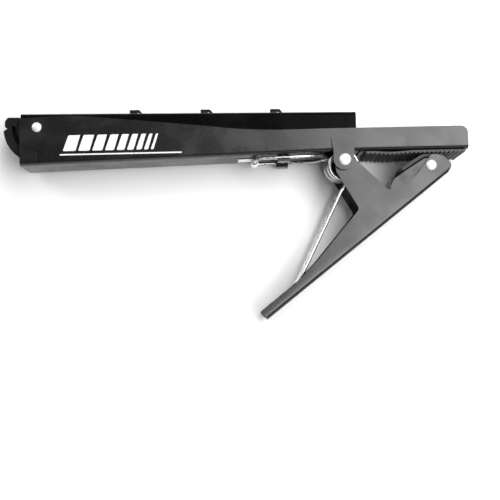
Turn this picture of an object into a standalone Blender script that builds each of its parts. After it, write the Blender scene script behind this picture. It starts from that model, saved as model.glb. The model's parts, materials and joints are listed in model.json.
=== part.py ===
"""Clip-on net post clamp for table tennis, lying on its side, jaw closed and post folded.

Lengths are in millimetres, in the clamp's own frame: the origin is the lever's pivot on
the middle plane, +X runs along the arm to the jaw, +Y is the way the raised post points
and +Z is the pivot's axis. The root empty places that frame in the world and scales it
to metres.
"""

import math

import bmesh
import bpy
from mathutils import Matrix, Vector

# Place of the pivot in the world, so that the part stands centred on the origin.
PIVOT_WORLD = (47.69, 21.37, 13.7)

SHEET = 1.2  # steel sheet
GAP = 0.3  # between pieces that touch

# Arm: a channel, open on its +Y side.
ARM_HALF = 11.0
ARM_LEFT = -143.0
ARM_TIP = 55.1
TAPER_START = -6.0
UNDERSIDE = 4.05
UNDERSIDE_LEFT = 0.6
JAW_TOP = 14.25
TIP_ROUND = 3.0
FOLD = 1.5
# Top edge of the side plates, from the hinge end to the slim jaw.
EDGE = (
    (ARM_LEFT, 21.6),
    (-121, 22.25),
    (-104, 21.0),
    (-64, 16.9),
    (-47, 14.9),
    (-30, 14.1),
    (0, JAW_TOP),
    (ARM_TIP, JAW_TOP),
)

# Ears, joggled outwards to take the lever between them. The side plates are cut away
# behind them, and the coils rise into a window in the floor.
EAR_INNER = 11.2
EAR_MIDDLE = -0.5
EAR_HALF_WIDTH = 4.5
EAR_NOTCH = 4.1
EAR_NOTCH_TOP = 5.9
EAR_JOGGLE = (11.4, 5.6)
RELIEF = 0.5
WINDOW = (-8.3, 7.3)
WINDOW_HALF = 9.2

# Post and its hinge.
HINGE = (-135.3, 17.5)
POST_HALF = 9.0
POST_THICK = 13.6
POST_ROUND = 2.6
POST_REST = math.radians(-0.8)
POST_WALL = 1.2
POST_LEFT = -143.0
POST_END = 1.2
CAP_LENGTH = 4.4
HEEL_RADIUS = 15.2
HEEL_HALF = 8.6
DETENT_Y = 4.9
DETENT_HALF = 2.3
HOOK_SLOT = (2.0, 1.4)
WASHER_RADIUS = 4.2
WASHER_HALF = 0.15
HOOKS_X = (-93.0, -61.0, -29.5)

# Lever: its web lies along a straight line at this angle, this far from the pivot.
LEVER_ANGLE = math.radians(37.65)
LEVER_OUTER = -33.1
LEVER_HALF = 10.8
LEVER_FROM = -70.7
LEVER_TO = 32.9
SHOE_RIVET = (38.2, -3.1)
SHOE_HOLE = 1.85
SHOE_SHANK = 1.6
SHOE_HALF = 9.3
LEVER_FLANGE = 2.6
LEVER_FOLD = 2.0
LEVER_DEPTH = 60.0

# Rivets.
PIN_RADIUS = 1.75
PIN_CLEAR = 0.25
PIVOT_HEAD = 2.65
SMALL_HEAD = 2.2
SHOE_HEAD = 2.4
HEAD_RISE = 1.2

# Spring: the coils hang on the pivot pin, so their centre is below it.
WIRE = 0.85
COIL_RADIUS = 6.3
COIL_NEAR = (-0.1, -2.05)
COIL_FAR = (-0.6, -0.7)
COIL_OUT = 7.9
COIL_IN = 1.45
COIL_START = -30.0
COIL_END = 118.0
COIL_TURNS = 3
LEG_Z = 7.4
LEG_SLANT_X = -11.0
CROSS_BAR_X = -39.6
TURN_STEPS = 14
LONG_LEG = ((-22.6, -53.7), (-20.6, -51.0), (-1.6, -13.2), (2.6, -9.2))

# Clip round the spring's cross bar, and the strap over its underside legs.
CLIP_SHEET = 0.6
CLIP_TAIL = 7.5
CLIP_HALF = 2.5
STRAP_X = -26.8
STRAP_HALF = 2.7
STRAP_SHEET = 1.0
STRAP_END = 10.4
STRAP_BEND = (5.0, 6.2)
STRAP_HOLE = 1.4
STRAP_SHANK = 1.15

# Ribbed strip.
STRIP_LEFT = 9.5
STRIP_RIGHT = 53.9
STRIP_TOP = UNDERSIDE - GAP
STRIP_ROOT = 3.0
STRIP_BOTTOM = 2.45
RIBS = 23
RIB_PITCH = (STRIP_RIGHT - STRIP_LEFT) / RIBS
SAG_MIDDLE = 21.3
SAG_HALF = 10.2
SAG_DEPTH = 0.5


def underside(x):
    """Height of the arm's lower face."""
    slope = (UNDERSIDE - UNDERSIDE_LEFT) / (TAPER_START - ARM_LEFT)
    return UNDERSIDE - max(0.0, TAPER_START - x) * slope


def edge_slope(k):
    """Slope of the top edge at point k of EDGE."""
    before, after = EDGE[max(0, k - 1)], EDGE[min(len(EDGE) - 1, k + 1)]
    return (after[1] - before[1]) / (after[0] - before[0])


def edge_height(x):
    """Height of the side plates' top edge: a smooth curve through EDGE, rounded at the tip."""
    k = next(i for i in range(1, len(EDGE)) if x <= EDGE[i][0] or i == len(EDGE) - 1)
    (x0, y0), (x1, y1) = EDGE[k - 1], EDGE[k]
    width = x1 - x0
    t = (x - x0) / width
    height = y0 * (1 + 2 * t) * (1 - t) ** 2 + y1 * t**2 * (3 - 2 * t)
    height += width * t * (1 - t) * (edge_slope(k - 1) * (1 - t) - edge_slope(k) * t)
    start = ARM_TIP - TIP_ROUND
    if x > start:
        height -= TIP_ROUND - math.sqrt(max(0.0, TIP_ROUND**2 - (x - start) ** 2))
    return height


def rounded(corners, step=math.radians(18)):
    """Outline through corners (x, y, radius), each replaced by the arc that fits its sides."""
    points = []
    count = len(corners)
    for i, (x, y, radius) in enumerate(corners):
        here = Vector((x, y))
        if radius <= 0:
            points.append(here)
            continue
        before = Vector(corners[i - 1][:2]) - here
        after = Vector(corners[(i + 1) % count][:2]) - here
        half = before.angle(after) / 2
        radius = min(radius, 0.48 * min(before.length, after.length) * math.tan(half))
        before.normalize()
        after.normalize()
        centre = here + (before + after).normalized() * radius / math.sin(half)
        start = here + before * radius / math.tan(half) - centre
        turn = math.pi - 2 * half
        sign = 1 if before.cross(after) < 0 else -1
        steps = max(2, math.ceil(turn / step))
        for k in range(steps + 1):
            points.append(centre + Matrix.Rotation(sign * turn * k / steps, 2) @ start)
    return points


def arc(centre, radius, start, end, steps):
    """Points on an arc; the angles are in degrees."""
    points = []
    for k in range(steps + 1):
        angle = math.radians(start + (end - start) * k / steps)
        points.append(Vector((centre[0] + radius * math.cos(angle), centre[1] + radius * math.sin(angle))))
    return points


def circle(centre, radius, steps=24):
    return arc(centre, radius, 0, 360 * (1 - 1 / steps), steps - 1)


def add(name, mesh, place=Matrix(), parent=None, into=None):
    """Makes the object that holds a mesh, in the collection of parts unless told otherwise."""
    mesh.transform(place)
    obj = bpy.data.objects.new(name, mesh)
    (into or PARTS).objects.link(obj)
    obj.parent = parent or ROOT
    if parent:
        obj.matrix_parent_inverse = Matrix.Translation(-parent.location)
    return obj


def mesh_from_curve(curve):
    """The curve's evaluated mesh, with its caps welded to its sides."""
    obj = bpy.data.objects.new(curve.name, curve)
    bpy.context.scene.collection.objects.link(obj)
    graph = bpy.context.evaluated_depsgraph_get()
    mesh = bpy.data.meshes.new_from_object(obj.evaluated_get(graph))
    bpy.data.objects.remove(obj)
    shape = bmesh.new()
    shape.from_mesh(mesh)
    bmesh.ops.remove_doubles(shape, verts=shape.verts, dist=1e-4)
    shape.to_mesh(mesh)
    shape.free()
    return mesh


def flat(name, loops, thickness, z=0.0):
    """Mesh of a flat outline with holes, thickness centred on z."""
    curve = bpy.data.curves.new(name, "CURVE")
    curve.dimensions = "2D"
    curve.fill_mode = "BOTH"
    curve.extrude = thickness / 2
    for loop in loops:
        spline = curve.splines.new("POLY")
        spline.points.add(len(loop) - 1)
        for point, at in zip(spline.points, loop):
            point.co = (at[0], at[1], 0, 1)
        spline.use_cyclic_u = True
    mesh = mesh_from_curve(curve)
    mesh.transform(Matrix.Translation((0, 0, z)))
    return mesh


def box_mesh(name, low, high):
    mesh = bpy.data.meshes.new(name)
    shape = bmesh.new()
    bmesh.ops.create_cube(shape, size=1)
    shape.to_mesh(mesh)
    shape.free()
    size = Vector(high) - Vector(low)
    middle = (Vector(high) + Vector(low)) / 2
    mesh.transform(Matrix.LocRotScale(middle, None, size))
    return mesh


def rod_mesh(name, radius, length, sides=24):
    """A cylinder along Z, centred."""
    mesh = bpy.data.meshes.new(name)
    shape = bmesh.new()
    bmesh.ops.create_cone(
        shape, cap_ends=True, segments=sides, radius1=radius, radius2=radius, depth=length
    )
    shape.to_mesh(mesh)
    shape.free()
    return mesh


def change(obj, operation, mesh, place=Matrix()):
    """Cuts, joins or intersects obj with a mesh, which stays as a hidden helper."""
    name = f"{obj.name}_{operation.lower()}_{len(obj.modifiers)}"
    parent = None if obj.parent == ROOT else obj.parent
    helper = add(name, mesh, place, parent, CUTTERS)
    helper.hide_render = True
    helper.display_type = "WIRE"
    modifier = obj.modifiers.new(operation.title(), "BOOLEAN")
    modifier.operation = operation
    modifier.solver = "EXACT"
    modifier.object = helper
    return helper


def turned(name, profile, place, parent=None, closed=False, steps=24):
    """A turned piece: the profile of (radius, height) runs down its outer side."""
    mesh = bpy.data.meshes.new(name)
    count = len(profile)
    edges = [(i, i + 1) for i in range(count - 1)]
    if closed:
        edges.append((count - 1, 0))
    mesh.from_pydata([(radius, 0, height) for radius, height in profile], edges, [])
    obj = add(name, mesh, parent=parent)
    modifier = obj.modifiers.new("Turn", "SCREW")
    modifier.steps = modifier.render_steps = steps
    modifier.use_merge_vertices = True
    modifier.merge_threshold = 1e-4
    modifier.use_normal_calculate = False
    obj.matrix_local = place
    if parent:
        obj.matrix_parent_inverse = Matrix.Translation(-parent.location)
    return obj


def rivet_profile(shank, head, length_top, length_bottom, rise=HEAD_RISE):
    """Shank between two domed heads; the lengths run from the origin to each head's seat."""
    dome = [
        (head * math.sin(math.radians(a)), rise * math.cos(math.radians(a)))
        for a in (0, 25, 45, 65, 80)
    ]
    top = [(r, length_top + h) for r, h in dome] + [(head, length_top), (shank, length_top)]
    bottom = [(r, -length_bottom - h) for r, h in dome]
    return top + [(shank, -length_bottom), (head, -length_bottom)] + bottom[::-1]


def material(obj, color, roughness, metallic=0.0):
    surface = bpy.data.materials.new(obj.name)
    surface.use_nodes = True
    shader = surface.node_tree.nodes["Principled BSDF"]
    shader.inputs["Base Color"].default_value = (*color, 1)
    shader.inputs["Roughness"].default_value = roughness
    shader.inputs["Metallic"].default_value = metallic
    obj.data.materials.clear()
    obj.data.materials.append(surface)


def black_paint(obj):
    material(obj, (0.02, 0.02, 0.022), 0.25)


def black_plastic(obj):
    material(obj, (0.025, 0.025, 0.025), 0.45)


def black_rubber(obj):
    material(obj, (0.035, 0.035, 0.035), 0.7)


def bright_steel(obj):
    material(obj, (0.8, 0.8, 0.8), 0.2, 1.0)


def channel_section(x):
    """Middle line of the arm's sheet at x, from the near edge round to the far one."""
    side = ARM_HALF - SHEET / 2
    floor = underside(x) + SHEET / 2
    top = edge_height(x)
    half = [(side, top)]
    for k in range(5):
        angle = math.radians(22.5 * k)
        z = side - FOLD + FOLD * math.cos(angle)
        half.append((z, floor + FOLD - FOLD * math.sin(angle)))
    far = [(-z, y) for z, y in reversed(half)]
    return [(x, y, z) for z, y in half + far]


def arm_stations():
    """Places along the arm where its section changes."""
    stations = [ARM_LEFT + k * (TAPER_START - ARM_LEFT) / 24 for k in range(25)]
    stations += [ARM_TIP - TIP_ROUND + TIP_ROUND * math.sin(math.radians(a)) for a in (0, 30, 60, 90)]
    return sorted(stations)


def arm_shell():
    """The pressed channel as a surface through its sections, thickened to the sheet."""
    shape = bmesh.new()
    rows = [[shape.verts.new(point) for point in channel_section(x)] for x in arm_stations()]
    for first, second in zip(rows, rows[1:]):
        for k in range(len(first) - 1):
            shape.faces.new((first[k], first[k + 1], second[k + 1], second[k]))
    bmesh.ops.recalc_face_normals(shape, faces=shape.faces)
    mesh = bpy.data.meshes.new("arm_channel")
    shape.to_mesh(mesh)
    shape.free()
    obj = add("arm_channel", mesh)
    solidify = obj.modifiers.new("Sheet", "SOLIDIFY")
    solidify.thickness = SHEET
    solidify.offset = 0
    solidify.use_even_offset = True
    return obj


def ear_mesh(side):
    """A joggled ear: the side plate's sheet steps outwards and hangs below the arm."""
    inner = ARM_HALF - SHEET
    high, low = EAR_JOGGLE
    end = -EAR_HALF_WIDTH - 1
    profile = rounded(
        [
            (inner, high + 1.2, 0),
            (inner, high, 4),
            (EAR_INNER, low, 4),
            (EAR_INNER, end, 0),
            (EAR_INNER + SHEET, end, 0),
            (EAR_INNER + SHEET, low, 5),
            (ARM_HALF, high, 5),
            (ARM_HALF, high + 1.2, 0),
        ]
    )
    turn = Matrix(((0, 0, 1, 0), (0, 1, 0, 0), (side, 0, 0, 0), (0, 0, 0, 1)))
    strip = flat("ear", [profile], 16)
    strip.transform(turn)
    if side > 0:
        strip.flip_normals()
    return strip


def ear_outline():
    """The ear seen from the side: flared where it leaves the arm, a round lobe at the rivet."""
    high = EAR_JOGGLE[0] + 0.8
    flare = [Vector((-5.6, high)), Vector((-5.0, 7.5)), Vector((-EAR_HALF_WIDTH, 4.0))]
    lobe = arc((0, 0), EAR_HALF_WIDTH, 180, 360, 14)
    outline = flare + lobe + [Vector((-p.x, p.y)) for p in reversed(flare)]
    return [p + Vector((EAR_MIDDLE, 0)) for p in outline]


def detent_outline(grow):
    """Arch with straight legs, as pressed into the side plates below the post's hinge."""
    half = DETENT_HALF + grow
    middle = HINGE[0] + 0.9
    foot = DETENT_Y - 2.6
    top = arc((middle, DETENT_Y + 0.3), half, 0, 180, 10)
    return top + [Vector((middle - half, foot)), Vector((middle + half, foot))]


def make_arm():
    arm = arm_shell()
    for side in (1, -1):
        low, high = sorted((side * (WINDOW_HALF - 0.4), side * (EAR_INNER + SHEET)))
        corners = (EAR_MIDDLE - EAR_NOTCH, -2, low), (EAR_MIDDLE + EAR_NOTCH, EAR_NOTCH_TOP, high)
        change(arm, "DIFFERENCE", box_mesh("ear_notch", *corners))
        for x in (EAR_MIDDLE - EAR_HALF_WIDTH - RELIEF, EAR_MIDDLE + EAR_HALF_WIDTH + RELIEF):
            relief = Matrix.Translation((x, UNDERSIDE + 0.1, (low + high) / 2))
            change(arm, "DIFFERENCE", rod_mesh("ear_relief", RELIEF, high - low, 12), relief)
        ear = add(f"ear_{'near' if side > 0 else 'far'}", ear_mesh(side), into=CUTTERS)
        ear.hide_render = True
        ear.display_type = "WIRE"
        change(ear, "INTERSECT", flat("ear_outline", [ear_outline()], 60))
        joined = arm.modifiers.new("Ear", "BOOLEAN")
        joined.operation = "UNION"
        joined.object = ear
        bump = flat("detent", [detent_outline(0)], 1.4, side * 9.7)
        change(arm, "UNION", bump)
        press = flat("detent_press", [detent_outline(-0.7)], 1.2, side * 11.0)
        change(arm, "DIFFERENCE", press)
    window_low = (WINDOW[0], UNDERSIDE - 1, -WINDOW_HALF)
    window_high = (WINDOW[1], UNDERSIDE + SHEET + 0.2, WINDOW_HALF)
    change(arm, "DIFFERENCE", box_mesh("window", window_low, window_high))
    through = rod_mesh("pivot_hole", PIN_RADIUS + PIN_CLEAR, 40)
    change(arm, "DIFFERENCE", through)
    hinge_hole = rod_mesh("hinge_hole", PIN_RADIUS + PIN_CLEAR, 40)
    change(arm, "DIFFERENCE", hinge_hole, Matrix.Translation((*HINGE, 0)))
    strap_hole = rod_mesh("strap_hole", STRAP_HOLE, 8)
    upright = Matrix.Translation((STRAP_X, underside(STRAP_X), 0)) @ Matrix.Rotation(math.pi / 2, 4, "X")
    change(arm, "DIFFERENCE", strap_hole, upright)
    black_paint(arm)
    return arm


def make_strap():
    """Hat-shaped strap: its middle lies under the arm, its ends pass below the spring's legs."""
    under = underside(STRAP_X) - GAP
    drop = 2 * WIRE + GAP
    inner, outer = STRAP_BEND
    half = [(STRAP_END, under - drop), (outer, under - drop), (inner, under)]
    top = half + [(-z, y) for z, y in reversed(half)]
    bend = 0.6 * STRAP_SHEET
    bottom = [
        (-STRAP_END, under - drop - STRAP_SHEET),
        (bend - outer, under - drop - STRAP_SHEET),
        (bend - inner, under - STRAP_SHEET),
    ]
    outline = top + bottom + [(-z, y) for z, y in reversed(bottom)]
    turn = Matrix(((0, 0, 1, STRAP_X), (0, 1, 0, 0), (-1, 0, 0, 0), (0, 0, 0, 1)))
    mesh = flat("spring_strap", [outline], 2 * STRAP_HALF)
    strap = add("spring_strap", mesh, turn)
    hole = rod_mesh("strap_own_hole", STRAP_HOLE, 8)
    upright = Matrix.Translation((STRAP_X, under, 0)) @ Matrix.Rotation(math.pi / 2, 4, "X")
    change(strap, "DIFFERENCE", hole, upright)
    black_paint(strap)
    return strap


def make_strap_rivet():
    """Its shank runs up through the strap and the arm's floor."""
    under = underside(STRAP_X) - GAP - STRAP_SHEET
    above = underside(STRAP_X) + SHEET + GAP
    profile = rivet_profile(STRAP_SHANK, SMALL_HEAD - 0.1, above - under, GAP, 0.8)
    place = Matrix.Translation((STRAP_X, under, 0)) @ Matrix.Rotation(-math.pi / 2, 4, "X")
    rivet = turned("strap_rivet", profile, place, steps=16)
    bright_steel(rivet)
    return rivet


def bar_height():
    """Height of the spring's cross bar: the rolled clip fits between it and the arm."""
    return underside(CROSS_BAR_X) - GAP - CLIP_SHEET - GAP - WIRE


def make_anchor_clip():
    """Rolled clip: a ring round the cross bar, with a tail welded under the arm."""
    centre = (CROSS_BAR_X, bar_height())
    inner = WIRE + GAP
    outer = inner + CLIP_SHEET
    end = CROSS_BAR_X - CLIP_TAIL
    tail_top = underside(end) - GAP
    tail = [Vector((end, tail_top - CLIP_SHEET)), Vector((end, tail_top))]
    ring = arc(centre, outer, 90, -200, 20)
    hollow = arc(centre, inner, -200, 90, 20)
    clip = add("spring_anchor_clip", flat("spring_anchor_clip", [tail + ring + hollow], 2 * CLIP_HALF))
    bright_steel(clip)


def leg_height(x):
    return underside(x) - GAP - WIRE


def coil_point(angle, z):
    """Point on the coils, which lean: their far side hangs higher than their near side."""
    share = (COIL_OUT - z) / (2 * COIL_OUT)
    middle = Vector(COIL_NEAR).lerp(Vector(COIL_FAR), share)
    turn = math.radians(angle)
    return Vector((middle.x + COIL_RADIUS * math.cos(turn), middle.y + COIL_RADIUS * math.sin(turn), z))


def spring_half(side):
    """Centre line of one half of the spring, from its long leg's tip to the cross bar."""
    points = [Vector((x, y, side * LEG_Z)) for x, y in LONG_LEG]
    last = COIL_END + 360 * COIL_TURNS
    steps = round((last - COIL_START) / 360 * TURN_STEPS)
    for k in range(steps + 1):
        t = k / steps
        z = side * (COIL_OUT + (COIL_IN - COIL_OUT) * t)
        points.append(coil_point(COIL_START + (last - COIL_START) * t, z))
    run = leg_height(0)
    points.append(Vector((-5.2, run + 0.35, side * (COIL_IN + 0.1))))
    points.append(Vector((-6.9, run - 0.02, side * (COIL_IN + 0.5))))
    for x in (LEG_SLANT_X, -24.0, CROSS_BAR_X + 2.6):
        points.append(Vector((x, leg_height(x), side * LEG_Z)))
    for t in (30, 60, 90):
        turn = math.radians(t)
        drop = (leg_height(CROSS_BAR_X) - bar_height()) * t / 90
        x = CROSS_BAR_X + 2.0 - 2.0 * math.sin(turn)
        z = LEG_Z - 2.0 * (1 - math.cos(turn))
        points.append(Vector((x, leg_height(x) - drop, side * z)))
    return points


def make_spring():
    path = spring_half(1) + spring_half(-1)[::-1]
    curve = bpy.data.curves.new("torsion_spring", "CURVE")
    curve.dimensions = "3D"
    curve.bevel_depth = WIRE
    curve.bevel_resolution = 2
    curve.use_fill_caps = True
    spline = curve.splines.new("POLY")
    spline.points.add(len(path) - 1)
    for point, at in zip(spline.points, path):
        point.co = (*at, 1)
    spring = bpy.data.objects.new("torsion_spring", curve)
    PARTS.objects.link(spring)
    spring.parent = ROOT
    bright_steel(spring)


def make_pivot_rivet():
    seat = EAR_INNER + SHEET + 0.1
    rivet = turned("pivot_rivet", rivet_profile(PIN_RADIUS, PIVOT_HEAD, seat, seat), Matrix())
    bright_steel(rivet)


def sag(x):
    """How far the loose middle of the strip hangs below its seat."""
    share = (x - SAG_MIDDLE) / SAG_HALF
    return SAG_DEPTH * math.cos(math.pi / 2 * share) ** 2 if abs(share) < 1 else 0.0


def rib_line():
    """Lower edge of the strip seen from the side, toothed."""
    points = [(STRIP_LEFT, STRIP_ROOT)]
    for k in range(RIBS):
        x = STRIP_LEFT + k * RIB_PITCH
        for share, y in ((0.2, STRIP_ROOT), (0.4, STRIP_BOTTOM), (0.8, STRIP_BOTTOM), (1.0, STRIP_ROOT)):
            points.append((x + share * RIB_PITCH, y))
    return points


def make_strip():
    """A flat back and a toothed lower face, as a surface through sections along the strip."""
    half = ARM_HALF - 0.6
    shape = bmesh.new()
    rows = []
    for x, low in rib_line():
        section = ((low, half), (STRIP_TOP, half), (STRIP_TOP, -half), (low, -half))
        rows.append([shape.verts.new((x, y - sag(x), z)) for y, z in section])
    for first, second in zip(rows, rows[1:]):
        for k in range(4):
            after = (k + 1) % 4
            shape.faces.new((first[k], first[after], second[after], second[k]))
    shape.faces.new(rows[0])
    shape.faces.new(rows[-1])
    bmesh.ops.recalc_face_normals(shape, faces=shape.faces)
    mesh = bpy.data.meshes.new("ribbed_strip")
    shape.to_mesh(mesh)
    shape.free()
    black_rubber(add("ribbed_strip", mesh))


def lever_outline():
    """Side plate of the lever: pivot lobe, jaw and handle."""
    return rounded(
        [
            (-4.6, 0.5, 2.2),
            (-2.4, 4.6, 2.4),
            (3.0, 4.4, 3.0),
            (5.2, -0.2, 2.0),
            (18.8, -13.6, 1.5),
            (25.6, -11.8, 6.0),
            (31.6, -7.4, 8.0),
            (36.0, -1.6, 3.0),
            (38.6, 1.9, 2.0),
            (43.4, 1.3, 4.0),
            (47.6, -2.9, 2.0),
            (45.6, -7.0, 0.6),
            (-35.6, -69.6, 0.3),
            (-38.6, -66.0, 0.8),
            (-22.2, -53.2, 6.0),
            (-13.1, -44.0, 6.0),
            (5.9, -21.8, 2.0),
            (-3.9, -5.0, 3.0),
        ]
    )


def lever_place(u):
    """Matrix that lays a section (across, out) on the lever's web line, with u along the line."""
    along = Vector((math.cos(LEVER_ANGLE), math.sin(LEVER_ANGLE), 0))
    out = Vector((-math.sin(LEVER_ANGLE), math.cos(LEVER_ANGLE), 0))
    at = along * u + out * LEVER_OUTER
    across = Vector((0, 0, -1))
    return Matrix.Translation(at) @ Matrix((along, across, out)).transposed().to_4x4()


def make_lever():
    """Two side plates, and the folded web that joins them along the outer edge."""
    section = rounded(
        [
            (-LEVER_HALF, LEVER_FLANGE, 0),
            (-LEVER_HALF, 0, LEVER_FOLD),
            (LEVER_HALF, 0, LEVER_FOLD),
            (LEVER_HALF, LEVER_FLANGE, 0),
            (LEVER_HALF - SHEET, LEVER_FLANGE, 0),
            (LEVER_HALF - SHEET, SHEET, 0.8),
            (-LEVER_HALF + SHEET, SHEET, 0.8),
            (-LEVER_HALF + SHEET, LEVER_FLANGE, 0),
        ]
    )
    web = flat("lever", [section], LEVER_TO - LEVER_FROM)
    stand = Matrix(((0, 0, 1, 0), (1, 0, 0, 0), (0, 1, 0, 0), (0, 0, 0, 1)))
    web.transform(stand)
    lever = add("lever", web, lever_place((LEVER_TO + LEVER_FROM) / 2), parent=LEVER)
    for side in (1, -1):
        middle = side * (LEVER_HALF - SHEET / 2)
        change(lever, "UNION", flat("lever_plate", [lever_outline()], SHEET, middle))
    envelope = rounded(
        [
            (-LEVER_HALF, LEVER_DEPTH, 0),
            (-LEVER_HALF, 0, LEVER_FOLD),
            (LEVER_HALF, 0, LEVER_FOLD),
            (LEVER_HALF, LEVER_DEPTH, 0),
        ]
    )
    folded = flat("lever_fold", [envelope], 2 * (LEVER_TO - LEVER_FROM))
    folded.transform(stand)
    change(lever, "INTERSECT", folded, lever_place((LEVER_TO + LEVER_FROM) / 2))
    change(lever, "DIFFERENCE", rod_mesh("lever_hole", PIN_RADIUS + PIN_CLEAR, 40))
    shoe_hole = rod_mesh("shoe_rivet_hole", SHOE_HOLE, 40)
    change(lever, "DIFFERENCE", shoe_hole, Matrix.Translation((*SHOE_RIVET, 0)))
    black_paint(lever)


def make_shoe():
    """Curved shoe between the plates, and the rubber that faces it."""
    body = rounded(
        [
            (19.6, -12.6, 1.0),
            (21.4, -8.6, 1.5),
            (26.4, -5.2, 8.0),
            (35.4, 0.4, 4.0),
            (39.6, 0.8, 3.0),
            (43.6, -3.6, 2.0),
            (41.6, -7.4, 1.0),
            (23.8, -21.2, 1.0),
        ]
    )
    hole = circle(SHOE_RIVET, SHOE_HOLE)
    shoe = add("jaw_shoe", flat("jaw_shoe", [body, hole], 2 * SHOE_HALF), parent=LEVER)
    black_plastic(shoe)
    face = rounded(
        [
            (25.2, -5.5, 0.5),
            (26.6, -4.7, 8.0),
            (35.4, 0.9, 4.0),
            (39.8, 1.2, 1.0),
            (38.9, 2.2, 1.0),
            (34.6, 2.15, 5.0),
            (25.6, -3.4, 6.0),
        ]
    )
    pad = add("shoe_rubber_pad", flat("shoe_rubber_pad", [face], 2 * SHOE_HALF), parent=LEVER)
    black_rubber(pad)
    seat = LEVER_HALF + 0.15
    place = Matrix.Translation((*SHOE_RIVET, 0))
    rivet = turned("shoe_rivet", rivet_profile(SHOE_SHANK, SHOE_HEAD, seat, seat), place, parent=LEVER)
    bright_steel(rivet)


def tube_section(half_width, half_height, radius):
    corners = [(-1, -1), (1, -1), (1, 1), (-1, 1)]
    return rounded([(a * half_width, b * half_height, radius) for a, b in corners])


def along_post(mesh, middle):
    """Turns a section's extrusion along X, centred on the post's line."""
    stand = Matrix(((0, 0, 1, middle), (0, 1, 0, HINGE[1]), (-1, 0, 0, 0), (0, 0, 0, 1)))
    mesh.transform(stand)
    return mesh


def hinge_hole(name):
    return rod_mesh(name, PIN_RADIUS + PIN_CLEAR, 40), Matrix.Translation((*HINGE, 0))


def make_post():
    length = POST_END - POST_LEFT
    middle = (POST_END + POST_LEFT) / 2
    half = POST_THICK / 2
    outside = tube_section(POST_HALF, half, POST_ROUND)
    inside = tube_section(POST_HALF - POST_WALL, half - POST_WALL, POST_ROUND - POST_WALL)
    mesh = along_post(flat("post_tube", [outside, inside], length), middle)
    tube = add("post_tube", mesh, parent=POST)
    change(tube, "DIFFERENCE", *hinge_hole("tube_hinge_hole"))
    top = HINGE[1] + half
    for x in HOOKS_X:
        length, width = HOOK_SLOT
        slot = box_mesh("hook_slot", (x - length, top - 2, -width), (x + length, top + 1, width))
        change(tube, "DIFFERENCE", slot)
    black_paint(tube)


def make_cap():
    """Cap with a plug inside the tube."""
    half = POST_THICK / 2
    middle = POST_END + 0.2 + CAP_LENGTH / 2
    section = tube_section(POST_HALF, half, POST_ROUND)
    head = along_post(flat("post_end_cap", [section], CAP_LENGTH), middle)
    cap = add("post_end_cap", head, parent=POST)
    inner = POST_WALL + GAP
    plug = tube_section(POST_HALF - inner, half - inner, POST_ROUND - inner)
    change(cap, "UNION", along_post(flat("cap_plug", [plug], 11), POST_END - 5))
    hollow = tube_section(POST_HALF - inner - 1.4, half - inner - 1.4, 0.4)
    change(cap, "DIFFERENCE", along_post(flat("cap_hollow", [hollow], 11), POST_END - 6.5))
    black_plastic(cap)


def heel_outline():
    """Cam-shaped heel, with the V-notch opposite the post."""
    arc_part = arc((0, 0), HEEL_RADIUS, 184, 228, 7)
    lower = [Vector((-8.9, -12.4)), Vector((-8.2, -11.6)), Vector((-8.2, 0))]
    notch = [(-14.7, 3.0, 1.0), (-14.5, 0.6, 0.3), (-13.2, 0.1, 0)]
    upper = rounded([(-8.2, 4.9, 0), (-13.5, 4.9, 1.2)] + notch)
    outline = upper + arc_part + lower
    return [p + Vector(HINGE) for p in outline]


def heel_pocket():
    """Crescent recess between the heel's rim and its hub."""
    rim = arc(HINGE, HEEL_RADIUS - 3.6, 172, 222, 7)
    hub = arc(HINGE, HEEL_RADIUS - 5.6, 214, 178, 5)
    return rim + hub


def make_foot():
    half = POST_THICK / 2
    heel = flat("post_foot", [heel_outline()], 2 * HEEL_HALF)
    foot = add("post_foot", heel, parent=POST)
    inner = POST_WALL + GAP
    plug = tube_section(POST_HALF - inner, half - inner, POST_ROUND - inner)
    change(foot, "UNION", along_post(flat("foot_plug", [plug], 30), POST_LEFT + 14.5))
    for side in (1, -1):
        change(foot, "DIFFERENCE", flat("pocket", [heel_pocket()], 8, side * HEEL_HALF))
    change(foot, "DIFFERENCE", *hinge_hole("foot_hinge_hole"))
    black_plastic(foot)


def make_hooks():
    """Net hooks on the post's outer face, each with a peg in the tube's slot."""
    top = HINGE[1] + POST_THICK / 2
    for number, x in enumerate(HOOKS_X, start=1):
        shape = [
            Vector((x - 1.7, top - 1.0)),
            Vector((x + 0.2, top - 1.0)),
            Vector((x + 0.2, top + 1.7)),
            Vector((x + 1.2, top + 2.0)),
            Vector((x + 2.5, top + 1.1)),
            Vector((x + 2.9, top + 1.5)),
            Vector((x + 1.6, top + 2.9)),
            Vector((x - 2.6, top + 2.9)),
            Vector((x - 2.6, top + 0.3)),
            Vector((x - 1.7, top + 0.3)),
        ]
        hook = add(f"net_hook_{number}", flat("net_hook", [shape], 2.4), parent=POST)
        black_plastic(hook)


def make_post_hinge():
    seat = ARM_HALF + 0.15
    place = Matrix.Translation((*HINGE, 0))
    rivet = turned("post_hinge_rivet", rivet_profile(PIN_RADIUS, SMALL_HEAD, seat, seat), place)
    bright_steel(rivet)
    gap_middle = (POST_HALF + ARM_HALF - SHEET) / 2
    for side, word in ((1, "near"), (-1, "far")):
        inner = PIN_RADIUS + 0.2
        ring = [
            (WASHER_RADIUS, WASHER_HALF),
            (WASHER_RADIUS, -WASHER_HALF),
            (inner, -WASHER_HALF),
            (inner, WASHER_HALF),
        ]
        at = Matrix.Translation((*HINGE, side * gap_middle))
        washer = turned(f"post_washer_{word}", ring, at, closed=True, steps=20)
        bright_steel(washer)


def collection(name):
    made = bpy.data.collections.new(name)
    bpy.context.scene.collection.children.link(made)
    return made


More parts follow.
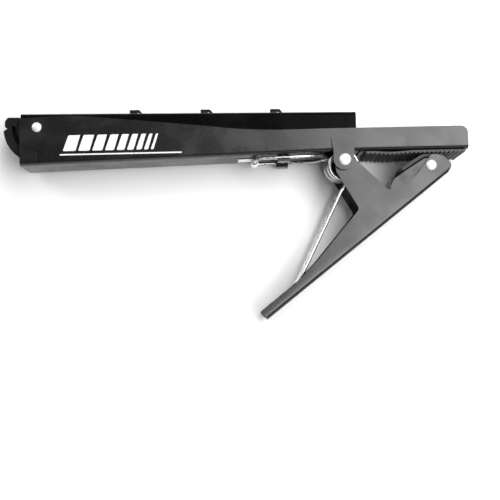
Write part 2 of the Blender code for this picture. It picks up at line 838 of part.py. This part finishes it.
def empty(name, at, parent=None):
    made = bpy.data.objects.new(name, None)
    made.empty_display_size = 5
    made.location = at
    made.parent = parent
    PARTS.objects.link(made)
    return made


for old in list(bpy.data.objects):
    bpy.data.objects.remove(old)
PARTS = collection("table_tennis_net_clamp")
CUTTERS = collection("cutters")
ROOT = empty("clamp", [v / 1000 for v in PIVOT_WORLD])
ROOT.scale = (0.001, 0.001, 0.001)
LEVER = empty("lever_pivot", (0, 0, 0), ROOT)
POST = empty("post_hinge", (*HINGE, 0), ROOT)
POST.rotation_euler.z = POST_REST
bpy.context.view_layer.update()

make_arm()
make_strap()
make_strap_rivet()
make_anchor_clip()
make_spring()
make_pivot_rivet()
make_strip()
make_lever()
make_shoe()
make_post()
make_cap()
make_foot()
make_hooks()
make_post_hinge()
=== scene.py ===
"""Looks of the clip-on net post clamp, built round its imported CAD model."""

import json
import math

import bmesh
import bpy
from mathutils import Matrix, Vector


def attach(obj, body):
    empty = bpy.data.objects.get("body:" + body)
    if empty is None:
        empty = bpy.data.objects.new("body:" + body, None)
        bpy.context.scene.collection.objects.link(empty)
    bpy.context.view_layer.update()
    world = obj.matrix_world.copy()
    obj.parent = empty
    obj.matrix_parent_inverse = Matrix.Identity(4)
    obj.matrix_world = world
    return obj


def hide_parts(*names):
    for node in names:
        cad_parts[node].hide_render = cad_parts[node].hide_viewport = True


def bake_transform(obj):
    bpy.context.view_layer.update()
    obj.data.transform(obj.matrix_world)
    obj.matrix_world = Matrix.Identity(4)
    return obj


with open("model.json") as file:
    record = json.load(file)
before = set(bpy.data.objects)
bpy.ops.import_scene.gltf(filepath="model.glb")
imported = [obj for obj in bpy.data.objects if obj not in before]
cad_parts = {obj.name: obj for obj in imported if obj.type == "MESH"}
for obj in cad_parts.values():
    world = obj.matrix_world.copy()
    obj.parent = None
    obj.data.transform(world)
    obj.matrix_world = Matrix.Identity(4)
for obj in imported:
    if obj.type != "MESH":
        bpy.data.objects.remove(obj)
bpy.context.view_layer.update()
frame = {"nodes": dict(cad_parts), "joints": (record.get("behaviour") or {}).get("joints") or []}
CAD = frame["nodes"]
MM = 0.001


def joint_place(name):
    """Where a joint's axis crosses the clamp's middle plane."""
    return Vector(next(j["pos_m"] for j in frame["joints"] if j["name"] == name))


# The clamp's own axes, in millimetres: the origin is the lever's pivot on the middle plane,
# +X runs to the jaw, +Y is the way the raised post points, +Z is up out of the side plate.
PIVOT = joint_place("lever_open")
HINGE = joint_place("post_fold")
LOCAL = Matrix.Translation(PIVOT) @ Matrix.Scale(MM, 4)

# Camera, in the clamp's own axes.
CAMERA_AT = Vector((-49.5, -67.8, 400.0))
CAMERA_AIM = Vector((-42.84, -38.9, 11.0))
CAMERA_ROLL = 0.024
CAMERA_LENS = 64.26
SENSOR = 36.0

# Studio. Each light has its place and what it points at in the clamp's own axes, its two
# sides in millimetres, and its radiance.
WORLD_GREY = 0.11
FLOOR_HALF = 4.0
LIGHTS = (
    ("key", (362, 230, 811), (362, 230, 0), (590, 1400), 6.6),
    ("fill_left", (-1500, 900, 1000), (0, 0, 0), (900, 900), 4.6),
    ("low_front", (-50, -800, 160), (0, 0, 0), (1400, 300), 1.6),
)

# Print on the near side plate: slanted bars that grow thinner, over a thin line.
PRINT_FACE = 11.0
PRINT_THICK = 0.03
PRINT_BARS = 9
PRINT_LEFT = -124.0
PRINT_LOW = 6.6
PRINT_HIGH = 13.6
PRINT_SLANT = 0.36
PRINT_FIRST = 5.2
PRINT_LAST = 0.9
PRINT_SPACE = 1.5
PRINT_LINE = ((-125.5, 4.7), (-72.0, 5.3))
PRINT_CUT = 0.35
PRINT_LINE_CUT = 0.2

# Rivets, as in the CAD.
PIN_RADIUS = 1.75
EAR_SEAT = 12.5
HINGE_SEAT = 11.15
SHOE_SEAT = 10.95
SHOE_RIVET = (38.2, -3.1)
SHOE_SHANK = 1.6
PIVOT_HEAD = 2.65
HINGE_HEAD = 2.2
SHOE_HEAD = 2.4
HEAD_RISE = 1.2
DOME_STEPS = 12

# Spring, as in the CAD.
WIRE = 0.85
COIL_RADIUS = 6.3
COIL_NEAR = (-0.1, -2.05)
COIL_FAR = (-0.6, -0.7)
COIL_OUT = 7.9
COIL_IN = 1.45
COIL_START = -30.0
COIL_END = 118.0
COIL_TURNS = 3
COIL_LEAVES = ((-5.2, 0.35, 0.1), (-6.9, -0.02, 0.5))  # x, rise over the leg, step along the pivot
LEG_Z = 7.4
LEG_SLANT_X = -11.0
LEG_STRAIGHT_X = -24.0
CROSS_BAR_X = -39.6
BAR_BEND = 2.0
TURN_STEPS = 40
LONG_LEG = ((-22.6, -53.7), (-20.6, -51.0), (-1.6, -13.2), (2.6, -9.2))
UNDERSIDE = 4.05
UNDERSIDE_LEFT = 0.6
ARM_LEFT = -143.0
TAPER_START = -6.0
GAP = 0.3
CLIP_SHEET = 0.6


def new_object(name, mesh):
    obj = bpy.data.objects.new(name, mesh)
    bpy.context.scene.collection.objects.link(obj)
    return obj


def smooth(obj, angle=35):
    obj.data.shade_smooth()
    obj.data.set_sharp_from_angle(angle=math.radians(angle))


def evaluated(obj):
    """Replaces the object's mesh or curve with what its modifiers make of it."""
    graph = bpy.context.evaluated_depsgraph_get()
    mesh = bpy.data.meshes.new_from_object(obj.evaluated_get(graph))
    made = new_object(obj.name + "_made", mesh)
    made.matrix_world = obj.matrix_world.copy()
    name = obj.name
    bpy.data.objects.remove(obj)
    made.name = name
    return made


# ---------------------------------------------------------------- materials


class Surface:
    """A material's nodes, with helpers that lay one layer of detail each."""

    def __init__(self, name, colour, roughness, metallic=0.0, ior=1.5):
        self.material = bpy.data.materials.new(name)
        self.material.use_nodes = True
        self.tree = self.material.node_tree
        self.shader = self.tree.nodes["Principled BSDF"]
        self.shader.inputs["Base Color"].default_value = (*colour, 1)
        self.shader.inputs["Roughness"].default_value = roughness
        self.shader.inputs["Metallic"].default_value = metallic
        self.shader.inputs["IOR"].default_value = ior
        self.colour = colour
        self.roughness = roughness
        self.place = self.tree.nodes.new("ShaderNodeTexCoord").outputs["Object"]
        self.height = None

    def link(self, source, target):
        self.tree.links.new(source, target)

    def noise(self, size_mm, detail=2.0, stretch=(1, 1, 1)):
        """Noise with features of about that size; stretch lengthens them along an axis."""
        mapping = self.tree.nodes.new("ShaderNodeMapping")
        mapping.inputs["Scale"].default_value = [1 / (size_mm * MM * s) for s in stretch]
        self.link(self.place, mapping.inputs["Vector"])
        noise = self.tree.nodes.new("ShaderNodeTexNoise")
        noise.inputs["Scale"].default_value = 1.0
        noise.inputs["Detail"].default_value = detail
        self.link(mapping.outputs["Vector"], noise.inputs["Vector"])
        return noise.outputs["Fac"]

    def spread(self, source, low, high, to_low, to_high):
        """Maps a range of the source to another, smoothly."""
        ramp = self.tree.nodes.new("ShaderNodeMapRange")
        ramp.interpolation_type = "SMOOTHSTEP"
        for socket, value in zip(("From Min", "From Max", "To Min", "To Max"), (low, high, to_low, to_high)):
            ramp.inputs[socket].default_value = value
        self.link(source, ramp.inputs["Value"])
        return ramp.outputs["Result"]

    def tint(self, share, colour):
        """Mixes a second colour into the base where share is near one."""
        mix = self.tree.nodes.new("ShaderNodeMix")
        mix.data_type = "RGBA"
        mix.inputs["A"].default_value = (*self.colour, 1)
        links = self.shader.inputs["Base Color"].links
        if links:
            self.link(links[0].from_socket, mix.inputs["A"])
        mix.inputs["B"].default_value = (*colour, 1)
        self.link(share, mix.inputs["Factor"])
        self.link(mix.outputs["Result"], self.shader.inputs["Base Color"])

    def roughen(self, share, amount):
        """Adds amount to the roughness where share is near one."""
        node = self.tree.nodes.new("ShaderNodeMath")
        node.operation = "MULTIPLY_ADD"
        node.inputs[1].default_value = amount
        node.inputs[2].default_value = self.roughness
        self.link(share, node.inputs[0])
        links = self.shader.inputs["Roughness"].links
        if links:
            self.link(links[0].from_socket, node.inputs[2])
        self.link(node.outputs["Value"], self.shader.inputs["Roughness"])

    def emboss(self, height, depth_mm, strength=1.0):
        """Adds a bump layer of about that depth."""
        bump = self.tree.nodes.new("ShaderNodeBump")
        bump.inputs["Distance"].default_value = depth_mm * MM
        bump.inputs["Strength"].default_value = strength
        self.link(height, bump.inputs["Height"])
        if self.height:
            self.link(self.height, bump.inputs["Normal"])
        self.height = bump.outputs["Normal"]
        self.link(self.height, self.shader.inputs["Normal"])


def paint(name, colour, roughness, peel_mm):
    """Black powder coat: orange peel, smudges, dust specks and a few rubbed spots."""
    s = Surface(name, colour, roughness, ior=1.55)
    smudge = s.spread(s.noise(14, 4), 0.42, 0.66, 0, 1)
    s.roughen(smudge, 0.10)
    grain = s.spread(s.noise(0.35, 2), 0.3, 0.7, 0, 1)
    s.roughen(grain, 0.05)
    s.tint(smudge, [c * 1.5 for c in colour])
    speck = s.spread(s.noise(0.55, 1), 0.77, 0.82, 0, 0.5)
    s.tint(speck, (0.09, 0.09, 0.088))
    scratch = s.spread(s.noise(0.5, 1, (26, 1, 1)), 0.75, 0.8, 0, 0.35)
    s.tint(scratch, (0.06, 0.06, 0.06))
    s.emboss(s.noise(peel_mm, 2), 0.02, 0.5)
    s.emboss(s.noise(9, 1), 0.10, 0.35)
    return s.material


def plastic(name, colour, roughness, grain_mm):
    """Moulded plastic: fine spark-eroded grain, flow marks and worn patches."""
    s = Surface(name, colour, roughness, ior=1.48)
    s.roughen(s.spread(s.noise(6, 3), 0.4, 0.7, 0, 1), 0.14)
    s.tint(s.spread(s.noise(2.5, 4), 0.5, 0.75, 0, 0.7), [c * 2.2 for c in colour])
    s.emboss(s.noise(grain_mm, 2), 0.03, 0.6)
    return s.material


def rubber(name, colour):
    """Rubber: dull, dusty in the hollows, with a fine pitted skin."""
    s = Surface(name, colour, 0.62, ior=1.5)
    dust = s.spread(s.noise(1.6, 5), 0.45, 0.7, 0, 1)
    s.tint(dust, [c * 1.9 for c in colour])
    s.roughen(dust, 0.2)
    s.emboss(s.noise(0.22, 2), 0.05, 0.7)
    return s.material


def metal(name, colour, roughness, stain, metallic=1.0, dents=0.4):
    """Plated steel: dull clouds, faint stains and a slightly uneven skin."""
    s = Surface(name, colour, roughness, metallic)
    s.roughen(s.spread(s.noise(1.8, 4), 0.35, 0.7, 0, 1), 0.12)
    s.tint(s.spread(s.noise(0.7, 3), 0.55, 0.75, 0, stain), [c * 0.6 for c in colour])
    s.emboss(s.noise(0.9, 2), 0.012, dents)
    return s.material


ARM_PAINT = paint("black_powder_coat", (0.0045, 0.0045, 0.0048), 0.24, 0.7)
POST_PAINT = paint("black_post_paint", (0.003, 0.003, 0.0033), 0.16, 0.9)
SATIN_PLASTIC = plastic("satin_black_plastic", (0.008, 0.008, 0.008), 0.4, 0.3)
GLOSS_PLASTIC = plastic("gloss_black_plastic", (0.006, 0.006, 0.006), 0.24, 0.4)
for dull, level in ((POST_PAINT, 0.02), (SATIN_PLASTIC, 0.14)):
    dull.node_tree.nodes["Principled BSDF"].inputs["Specular IOR Level"].default_value = level
STRIP_RUBBER = rubber("ribbed_black_rubber", (0.045, 0.045, 0.045))
PAD_RUBBER = rubber("grey_black_rubber", (0.03, 0.03, 0.031))
SPRING_WIRE = metal("bright_spring_wire", (0.5, 0.5, 0.51), 0.22, 0.5, dents=0.08)
ZINC = metal("bright_zinc", (0.92, 0.92, 0.91), 0.42, 0.25, 0.6)
PRINT = Surface("white_print", (0.8, 0.8, 0.82), 0.42)
PRINT.tint(PRINT.spread(PRINT.noise(0.5, 4), 0.56, 0.74, 0, 0.6), (0.42, 0.42, 0.45))
PRINT.emboss(PRINT.noise(0.7, 2), 0.02, 0.5)


def finish(obj, body, slot, surface, *nodes):
    """Gives a piece its material and its body, and hides the CAD nodes that it stands for; the slot is not
    used.
    """
    obj.data.materials.clear()
    obj.data.materials.append(surface)
    if body:
        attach(obj, body)
    if nodes:
        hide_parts(*nodes)
    return obj


# ---------------------------------------------------------------- finer copies of CAD nodes


def finer(node, radius_mm, body, slot, surface, steps=3, angle=32):
    """The CAD node with its faces joined and its edges rounded."""
    shape = bmesh.new()
    shape.from_mesh(CAD[node].data)
    bmesh.ops.remove_doubles(shape, verts=shape.verts, dist=2e-6)
    bmesh.ops.dissolve_limit(
        shape, angle_limit=math.radians(0.6), verts=shape.verts, edges=shape.edges
    )
    points = [v.co.copy() for v in shape.verts]
    shape.verts.index_update()
    faces = [[v.index for v in face.verts] for face in shape.faces]
    shape.free()
    mesh = bpy.data.meshes.new(node + "_finish")
    mesh.from_pydata(points, [], faces)
    mesh.shade_smooth()
    mesh.set_sharp_from_angle(angle=math.radians(angle))
    obj = new_object(node + "_finish", mesh)
    bevel = obj.modifiers.new("Edges", "BEVEL")
    bevel.width = radius_mm * MM
    bevel.segments = steps
    bevel.limit_method = "ANGLE"
    bevel.angle_limit = math.radians(angle)
    bevel.use_clamp_overlap = True
    bevel.miter_outer = "MITER_ARC"
    bevel.harden_normals = True
    obj = evaluated(obj)
    return finish(obj, body, slot, surface, node)


# ---------------------------------------------------------------- turned pieces


def turned(name, profile, at, steps=48):
    """A turned piece about the clamp's Z; the profile of (radius, height) runs downwards."""
    mesh = bpy.data.meshes.new(name)
    mesh.from_pydata([(r, 0, h) for r, h in profile], [(i, i + 1) for i in range(len(profile) - 1)], [])
    obj = new_object(name, mesh)
    obj.matrix_world = at
    screw = obj.modifiers.new("Turn", "SCREW")
    screw.steps = screw.render_steps = steps
    screw.use_merge_vertices = True
    screw.merge_threshold = 1e-4
    screw.use_normal_calculate = False
    return evaluated(obj)


def rivet(name, node, place, seat, head, shank, body):
    """Rivet with domed heads that carry the flat and ring a setting tool leaves."""
    dome = []
    for k in range(DOME_STEPS + 1):
        angle = math.radians(84 * k / DOME_STEPS)
        height = HEAD_RISE * math.cos(angle)
        dome.append((head * math.sin(angle), min(height, 0.97 * HEAD_RISE)))
    dome[0] = (0, 0.93 * HEAD_RISE)
    dome += [(head, 0.1), (head - 0.08, 0)]
    top = [(r, seat + h) for r, h in dome] + [(shank, seat)]
    bottom = [(r, -seat - h) for r, h in dome] + [(shank, -seat)]
    obj = turned(name, top + bottom[::-1], LOCAL @ place)
    smooth(obj, 50)
    return finish(obj, body, "plated_steel", ZINC, node)


# ---------------------------------------------------------------- spring


def underside(x):
    slope = (UNDERSIDE - UNDERSIDE_LEFT) / (TAPER_START - ARM_LEFT)
    return UNDERSIDE - max(0.0, TAPER_START - x) * slope


def leg_height(x):
    return underside(x) - GAP - WIRE


def coil_point(angle, z):
    """Point on the coils, which lean: their far side hangs higher than their near side."""
    share = (COIL_OUT - z) / (2 * COIL_OUT)
    middle = Vector(COIL_NEAR).lerp(Vector(COIL_FAR), share)
    turn = math.radians(angle)
    return Vector((middle.x + COIL_RADIUS * math.cos(turn), middle.y + COIL_RADIUS * math.sin(turn), z))


def spring_half(side):
    """Centre line of one half of the spring, from its long leg's tip to the cross bar."""
    points = [Vector((x, y, side * LEG_Z)) for x, y in LONG_LEG]
    last = COIL_END + 360 * COIL_TURNS
    steps = round((last - COIL_START) / 360 * TURN_STEPS)
    for k in range(steps + 1):
        t = k / steps
        z = side * (COIL_OUT + (COIL_IN - COIL_OUT) * t)
        points.append(coil_point(COIL_START + (last - COIL_START) * t, z))
    for x, rise, step in COIL_LEAVES:
        points.append(Vector((x, leg_height(0) + rise, side * (COIL_IN + step))))
    for x in (LEG_SLANT_X, LEG_STRAIGHT_X, CROSS_BAR_X + 2.6):
        points.append(Vector((x, leg_height(x), side * LEG_Z)))
    bar = underside(CROSS_BAR_X) - 2 * GAP - CLIP_SHEET - WIRE
    for t in (15, 30, 45, 60, 75, 90):
        turn = math.radians(t)
        drop = (leg_height(CROSS_BAR_X) - bar) * t / 90
        x = CROSS_BAR_X + BAR_BEND * (1 - math.sin(turn))
        z = LEG_Z - BAR_BEND * (1 - math.cos(turn))
        points.append(Vector((x, leg_height(x) - drop, side * z)))
    return points


def make_spring():
    path = spring_half(1) + spring_half(-1)[::-1]
    curve = bpy.data.curves.new("torsion_spring_wire", "CURVE")
    curve.dimensions = "3D"
    curve.bevel_depth = WIRE
    curve.bevel_resolution = 5
    curve.use_fill_caps = True
    spline = curve.splines.new("POLY")
    spline.points.add(len(path) - 1)
    for point, at in zip(spline.points, path):
        point.co = (*at, 1)
    obj = new_object("torsion_spring_wire", curve)
    obj.matrix_world = LOCAL
    obj = evaluated(obj)
    smooth(obj, 60)
    finish(obj, None, "spring_wire", SPRING_WIRE, "torsion_spring")
    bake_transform(obj)


# ---------------------------------------------------------------- print


def bar_outline(x, width, low, high, cut=PRINT_CUT):
    """Slanted bar with clipped corners."""
    corners = [
        (x + cut, low),
        (x + width, low),
        (x + width + cut, low + cut),
        (x + width, high),
        (x + cut, high),
        (x, high - cut),
        (x, low + cut),
    ]
    return [(px + PRINT_SLANT * (py - low), py) for px, py in corners]


def print_outlines():
    outlines = []
    x = PRINT_LEFT
    for k in range(PRINT_BARS):
        width = PRINT_FIRST + (PRINT_LAST - PRINT_FIRST) * k / (PRINT_BARS - 1)
        outlines.append(bar_outline(x, width, PRINT_LOW, PRINT_HIGH))
        x += width + PRINT_SPACE
    (left, low), (right, high) = PRINT_LINE
    outlines.append(bar_outline(left, right - left, low, high, PRINT_LINE_CUT))
    return outlines


def make_print():
    """A thin layer of paint, bedded a little into the side plate."""
    shape = bmesh.new()
    for outline in print_outlines():
        top = [shape.verts.new((px, py, PRINT_FACE + PRINT_THICK)) for px, py in outline]
        base = [shape.verts.new((px, py, PRINT_FACE - PRINT_THICK)) for px, py in outline]
        shape.faces.new(top)
        shape.faces.new(base[::-1])
        for k in range(len(outline)):
            after = (k + 1) % len(outline)
            shape.faces.new((base[k], base[after], top[after], top[k]))
    bmesh.ops.recalc_face_normals(shape, faces=shape.faces)
    mesh = bpy.data.meshes.new("side_print")
    shape.to_mesh(mesh)
    shape.free()
    mesh.transform(LOCAL)
    finish(new_object("side_print", mesh), "arm", "black_paint", PRINT.material)


# ---------------------------------------------------------------- pieces

make_print()
finer("arm_channel", 0.22, "arm", "black_paint", ARM_PAINT)
finer("spring_strap", 0.2, "arm", "black_paint", ARM_PAINT)
finer("spring_anchor_clip", 0.1, "arm", "plated_steel", ZINC, angle=50)
finer("ribbed_strip", 0.08, "arm", "black_rubber", STRIP_RUBBER, steps=2)
finer("lever", 0.22, "lever", "black_paint", ARM_PAINT)
finer("jaw_shoe", 0.4, "lever", "shoe_plastic", GLOSS_PLASTIC)
finer("shoe_rubber_pad", 0.2, "lever", "black_rubber", PAD_RUBBER)
finer("post_tube", 0.12, "post", "post_paint", POST_PAINT)
finer("post_foot", 0.25, "post", "black_plastic", SATIN_PLASTIC)
finer("post_end_cap", 0.3, "post", "black_plastic", POST_PAINT)
for hook in ("net_hook_1", "net_hook_2", "net_hook_3"):
    finer(hook, 0.15, "post", "black_plastic", SATIN_PLASTIC)
make_spring()

AT_HINGE = Matrix.Translation((HINGE - PIVOT) / MM)
AT_SHOE = Matrix.Translation((*SHOE_RIVET, 0))
rivet("pivot_rivet_turned", "pivot_rivet", Matrix(), EAR_SEAT, PIVOT_HEAD, PIN_RADIUS, "arm")
rivet("hinge_rivet_turned", "post_hinge_rivet", AT_HINGE, HINGE_SEAT, HINGE_HEAD, PIN_RADIUS, "arm")
rivet("shoe_rivet_turned", "shoe_rivet", AT_SHOE, SHOE_SEAT, SHOE_HEAD, SHOE_SHANK, "lever")
for node in ("strap_rivet", "post_washer_near", "post_washer_far"):
    CAD[node].data.materials.clear()
    CAD[node].data.materials.append(ZINC)


# ---------------------------------------------------------------- room


def make_floor():
    mesh = bpy.data.meshes.new("floor")
    shape = bmesh.new()
    bmesh.ops.create_grid(shape, x_segments=2, y_segments=2, size=FLOOR_HALF)
    shape.to_mesh(mesh)
    shape.free()
    floor = new_object("floor", mesh)
    s = Surface("pale_floor", (0.93, 0.93, 0.93), 0.7)
    s.tint(s.spread(s.noise(400, 3), 0.3, 0.7, 0, 1), (0.95, 0.95, 0.95))
    mesh.materials.append(s.material)


def softbox(name, at, aim, size, radiance):
    """Rectangular light of that radiance, placed and aimed in the clamp's axes (mm)."""
    light = bpy.data.lights.new(name, "AREA")
    light.shape = "RECTANGLE"
    light.size, light.size_y = (s * MM for s in size)
    light.energy = radiance * math.pi * light.size * light.size_y
    obj = new_object(name, light)
    obj.location = LOCAL @ Vector(at)
    direction = LOCAL @ Vector(aim) - obj.location
    obj.rotation_euler = direction.to_track_quat("-Z", "Y").to_euler()


def make_camera():
    data = bpy.data.cameras.new("camera")
    data.sensor_width = SENSOR
    data.lens = CAMERA_LENS
    camera = new_object("camera", data)
    back = (CAMERA_AT - CAMERA_AIM).normalized()
    right = Vector((math.cos(CAMERA_ROLL), -math.sin(CAMERA_ROLL), 0))
    up = back.cross(right).normalized()
    right = up.cross(back)
    turn = Matrix((right, up, back)).transposed().to_4x4()
    camera.matrix_world = Matrix.Translation(LOCAL @ CAMERA_AT) @ turn
    bpy.context.scene.camera = camera


make_floor()
make_camera()
world = bpy.data.worlds.new("studio")
bpy.context.scene.world = world
world.use_nodes = True
world.node_tree.nodes["Background"].inputs["Color"].default_value = (WORLD_GREY, WORLD_GREY, WORLD_GREY, 1)
bpy.context.scene.view_settings.view_transform = "Standard"
for light in LIGHTS:
    softbox(*light)
